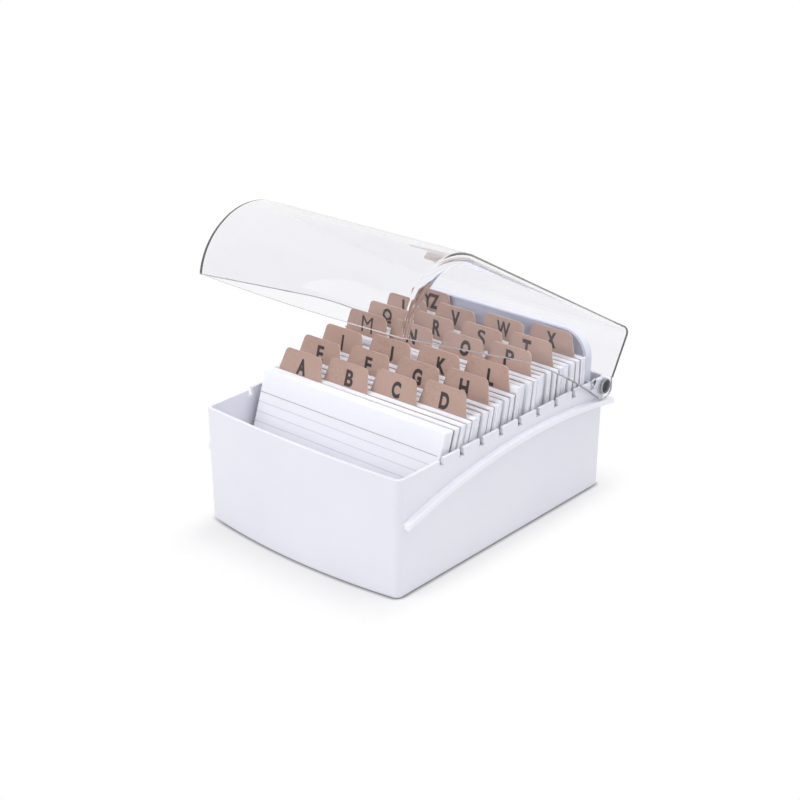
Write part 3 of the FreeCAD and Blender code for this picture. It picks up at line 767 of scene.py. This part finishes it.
def build_guides():
    half = CARD_W / 2
    for station, letter in enumerate(LETTERS):
        tilt, raised, slid = tilt_at(station), RAISED.get(letter, 0.0), SLID.get(letter, 0.0)
        place = leaned(foot_at(station) + raised * tilt, tilt,
                       GUIDE_T / 2 * tilt + raised * rise_of(tilt))
        middle = TAB_FIRST + TAB_PITCH * (station % TAB_COLUMNS)
        outline = [(-half, 0.0), (half, 0.0), (half, CARD_H)]
        outline += rounded_tab(middle) + [(-half, CARD_H)]
        count = len(outline)
        verts = [place(x + slid, depth, up) for depth in (-GUIDE_T / 2, GUIDE_T / 2)
                 for x, up in outline]
        faces = [list(range(count)), list(range(count, 2 * count))[::-1]]
        faces += strip(0, count, count, True)
        piece = make("guide_board_" + letter.lower(), verts, faces, "tray",
                     [KRAFT, BOARD_EDGE_SHADE, BOARD_TOP_LIT], "guide_" + letter.lower(), smooth=False)
        last = len(piece.data.polygons) - 1
        # painted shade on the sides and the shoulders beside the tab, painted light on the tab's
        # edges
        below_tab = (3, 4, last - 1, last)
        for index, polygon in enumerate(piece.data.polygons):
            polygon.material_index = 0 if index < 2 else 1 if index in below_tab else 2
        build_letter(letter, place, middle + slid + NUDGED.get(letter, 0.0))


def letter_mesh(letter, offset):
    """A letter of the built-in font as a flat mesh, and its left, right, low and high ends."""
    curve = bpy.data.curves.new("letter", "FONT")
    curve.body = letter
    curve.size = FONT_SIZE
    curve.offset = offset
    curve.resolution_u = 6
    curve.fill_mode = "FRONT"
    text = shown("letter", curve)
    mesh = evaluated_mesh(text)
    bpy.data.objects.remove(text)
    xs = [v.co.x for v in mesh.vertices]
    ys = [v.co.y for v in mesh.vertices]
    return mesh, min(xs), max(xs), min(ys), max(ys)


def thickening(letter):
    """How far the font's outline has to grow for the stroke that a letter ends up with."""
    if letter in SET_THICKENING:
        return SET_THICKENING[letter]
    mesh, left, right, _, _ = letter_mesh(letter, 0.0)
    bpy.data.meshes.remove(mesh)
    width, stroke = LETTER_WIDTH[letter], NARROW_STROKE if letter == "W" else LETTER_STROKE
    offset = (stroke * (right - left) - FONT_STROKE * width) / (2 * (width - stroke))
    return min(MOST_THICKENING, max(LEAST_THICKENING, offset))


def build_letter(letter, place, middle):
    """The letter printed on a tab, as a flat shape just off the board, narrow and bold."""
    mesh, left, right, low, high = letter_mesh(letter, thickening(letter))
    wide, tall = LETTER_WIDTH[letter] / (right - left), LETTER_H / (high - low)
    drop = RAISED_DROP if letter in RAISED else LETTER_DROP
    foot = CARD_H + TAB_H - drop - LETTER_H
    for vert in mesh.vertices:
        across = middle + (vert.co.x - (left + right) / 2) * wide
        up = foot + (vert.co.y - low) * tall
        vert.co = Vector(place(across, -GUIDE_T / 2 - LETTER_OFF, up)) * MM
    mesh.materials.clear()
    mesh.materials.append(INK)
    piece = shown("print_" + letter.lower(), mesh)
    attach(piece, "tray")


def card_block(place, near, far, low, aside, taller):
    """One card as a thin sheet between two depths."""
    half, top = CARD_W / 2, CARD_H + taller
    corners = ((-half, 0.0), (half, 0.0), (half, top), (-half, top))
    verts = [place(across + aside, depth, up + low) for depth in (near, far)
             for across, up in corners]
    return verts, [[0, 1, 2, 3], [7, 6, 5, 4], [0, 4, 5, 1], [1, 5, 6, 2], [2, 6, 7, 3],
                   [3, 7, 4, 0]]


def build_pack(name, node, body, foot, tilt, depth, lift=0.0, slack=1.0, aside=0.0, taller=0.0):
    """Cards stacked from a leaning face towards the front, each standing on the floor.

    Returns how to place things on them, and the depth of the foremost one.
    """
    place = leaned(foot, tilt, lift)
    count = max(3, round(depth / CARD_PITCH))
    step = depth / count
    blocks = []
    for index in range(count):
        far = -index * step - PACK_GAP
        near = far - step + CARD_GAP
        low = far * tilt / rise_of(tilt) - CARD_SINK * chance.random() ** 2 * slack
        off = chance.uniform(*CARD_ASIDE) * slack + aside
        blocks.append(card_block(place, near, far, low, off, taller))
    piece = make(name, *joined(blocks), body, [CARD, CARD_EDGE], node, smooth=False)
    for index, polygon in enumerate(piece.data.polygons):
        polygon.material_index = 0 if index % 6 < 2 else 1
    return place, -count * step


def build_rules(place, near, low):
    """Ruled lines printed on the foremost card: a header line and eleven fainter ones."""
    half, depth = CARD_W / 2 - RULE_MARGIN, near - RULE_OFF
    ups = [CARD_H - RULE_DROP - RULE_PITCH * k + low for k in range(12)]
    for name, chosen, tall, material in (("header", ups[:1], HEADER_HALF, HEADER),
                                         ("lines", ups[1:], LINE_HALF, RULE)):
        lines = []
        for up in chosen:
            corners = (-half, up - tall), (half, up - tall), (half, up + tall), (-half, up + tall)
            lines.append(([place(x, depth, u) for x, u in corners], [[0, 1, 2, 3]]))
        piece = make("front_card_" + name, *joined(lines), "front_cards", [material],
                     smooth=False)


def front_of(foot, tilt, thickness, clearance):
    """Foot of a pack that leans on the front of a board, given the board's foot."""
    rise = rise_of(tilt)
    return foot - thickness / 2 * rise - thickness * tilt * tilt / rise - clearance / rise


def build_cards():
    """The pack that tips at the front, one before every other guide, and one at the rear."""
    slope = FIRST_TILT / rise_of(FIRST_TILT)
    foot = front_of(foot_at(0), FIRST_TILT, GUIDE_T, FRONT_GAP) + slope * FRONT_LIFT
    place, near = build_pack("card_stack_front", "cards_front", "front_cards", foot, FIRST_TILT,
                             FRONT_DEPTH, FRONT_LIFT, FRONT_SLACK, FRONT_ASIDE)
    build_rules(place, near, near * slope + RULE_LIFT)
    for station in range(1, len(LETTERS)):
        letter, before, tilt = LETTERS[station], LETTERS[station - 1], tilt_at(station)
        foot = front_of(foot_at(station), tilt, GUIDE_T, PACK_GAP)
        build_pack("card_stack_" + before.lower(), "cards_behind_" + before.lower(), "tray",
                   foot, tilt, PACK_DEPTH, taller=RAISED.get(letter, 0.0),
                   aside=max(SLID.get(letter, 0.0), SLID.get(before, 0.0)))
    foot = front_of(PLATE_Y, PLATE_TILT, PLATE_T, PACK_GAP)
    build_pack("card_stack_rear", "cards_rear", "tray", foot, PLATE_TILT, REAR_DEPTH)


# ---- camera, floor and light, from here on in metres ----

def build_camera():
    data = bpy.data.cameras.new("camera")
    data.sensor_width = 36.0
    data.lens = 75.44
    data.clip_end = 50
    camera = shown("camera", data)
    back = Vector((0.62290, -0.66777, 0.40753)).normalized()
    right = Vector((0, 0, 1)).cross(back).normalized()
    level = Matrix((right, back.cross(right), back)).transposed().to_4x4()
    roll = Matrix.Rotation(math.radians(-1.5), 4, "Z")
    place = Matrix.Translation((0.55156, -0.59585, 0.42184))
    camera.matrix_world = place @ level @ roll
    bpy.context.scene.camera = camera


def past_box(nodes, point, half, stretch):
    """How far a point of the floor is past a rectangle about the middle, in X and Y only."""
    beyond = nodes.vector("SUBTRACT", nodes.vector("ABSOLUTE", point), half)
    stretched = nodes.vector("MULTIPLY", beyond, stretch)
    return nodes.vector("LENGTH", nodes.vector("MAXIMUM", stretched, (0, 0, 0)))


def contact_shade(nodes, white):
    """Painted contact shadow: darker floor where the tray's rounded foot meets it, following the
    bowed front.
    """
    across = nodes.split(nodes.place())
    square = nodes.math("MULTIPLY", across["X"], across["X"])
    bowed = nodes.math("MULTIPLY_ADD", square, -BASE_BOW / HALF_BASE ** 2 / MM, BASE_BOW * MM)
    straight = nodes.math("ADD", across["Y"], bowed)
    point = nodes.add("ShaderNodeCombineXYZ", across["X"], straight).outputs[0]
    half = ((HALF_BASE - CORNER) * MM, (BASE_END - CORNER) * MM, 0)
    reach = past_box(nodes, point, half, (1, 1, 0))
    near, far = (CORNER - 0.6) * MM, (CORNER + 2.4) * MM
    clear = nodes.span(reach, 0.0, 1.0, near, far, "SMOOTHSTEP")
    return nodes.mix(clear, rgb(0.42, 0.42, 0.42), white)


def build_floor():
    """White floor that keeps the shadow near the box and fades to plain white away from it."""
    mesh = bpy.data.meshes.new("floor")
    mesh.from_pydata([(-6, -6, 0), (6, -6, 0), (6, 6, 0), (-6, 6, 0)], [], [[0, 1, 2, 3]])
    floor = shown("floor", mesh)
    look = Look("floor_white")
    white = look.ramp(look.noise(3.0), rgb(0.89, 0.886, 0.88), rgb(0.91, 0.906, 0.90))
    look.set(Base_Color=contact_shade(look, white), Roughness=0.9, Specular_IOR_Level=0.1)
    shift, half, stretch = (-0.006, 0.012, 0), (0.060, 0.080, 0), (1.9, 1.0, 0)
    fade_start, fade_end = 0.002, 0.042
    reach = past_box(look, look.vector("ADD", look.place(), shift), half, stretch)
    away = look.span(reach, 0.0, 1.0, fade_start, fade_end, "SMOOTHSTEP")
    glow = look.add("ShaderNodeEmission").outputs[0]
    both = look.add("ShaderNodeMixShader", look.math("MULTIPLY", look.looked_at(), away),
                    look.shader.outputs[0], glow)
    look.feed(both.outputs[0], look.tree.nodes["Material Output"].inputs["Surface"])
    mesh.materials.append(look.material)


def build_sky():
    """White where it is looked at, and softer where it only lights the scene."""
    world = bpy.data.worlds.new("studio")
    bpy.context.scene.world = world
    world.use_nodes = True
    nodes = Nodes(world.node_tree)
    soft = nodes.tree.nodes["Background"]
    soft.inputs["Color"].default_value = rgb(0.965, 0.96, 0.965)
    soft.inputs["Strength"].default_value = 0.66
    white = nodes.add("ShaderNodeBackground", Color=rgb(1, 1, 1))
    sky = nodes.add("ShaderNodeMixShader", nodes.looked_at(), soft.outputs[0], white.outputs[0])
    nodes.feed(sky.outputs[0], nodes.tree.nodes["World Output"].inputs["Surface"])


def lamp(name, place, size, power, colour):
    """A rectangular lamp that faces the lower part of the box."""
    data = bpy.data.lights.new(name, "AREA")
    data.shape = "RECTANGLE"
    data.size, data.size_y = size
    data.energy = power
    data.color = colour
    light = shown(name, data)
    light.location = place
    facing = Vector((0, 0, 0.05)) - Vector(place)
    light.rotation_euler = facing.to_track_quat("-Z", "Y").to_euler()


def build_light():
    build_sky()
    lamp("key", (0.25, 0.5, 1.52), (1.4, 1.4), 9.6, (1.0, 0.995, 0.985))
    lamp("side", (1.3, -0.4, 0.9), (0.8, 0.8), 3.3, (0.93, 0.97, 1.0))
    lamp("fill", (-0.6, -1.3, 0.9), (1.0, 0.8), 7.6, (0.98, 0.985, 1.0))


build_camera()
build_tray()
build_rails()
build_bosses()
build_lid()
build_rivets()
build_backrest()
build_guides()
build_cards()
build_floor()
build_light()
bpy.context.scene.view_settings.view_transform = "Standard"
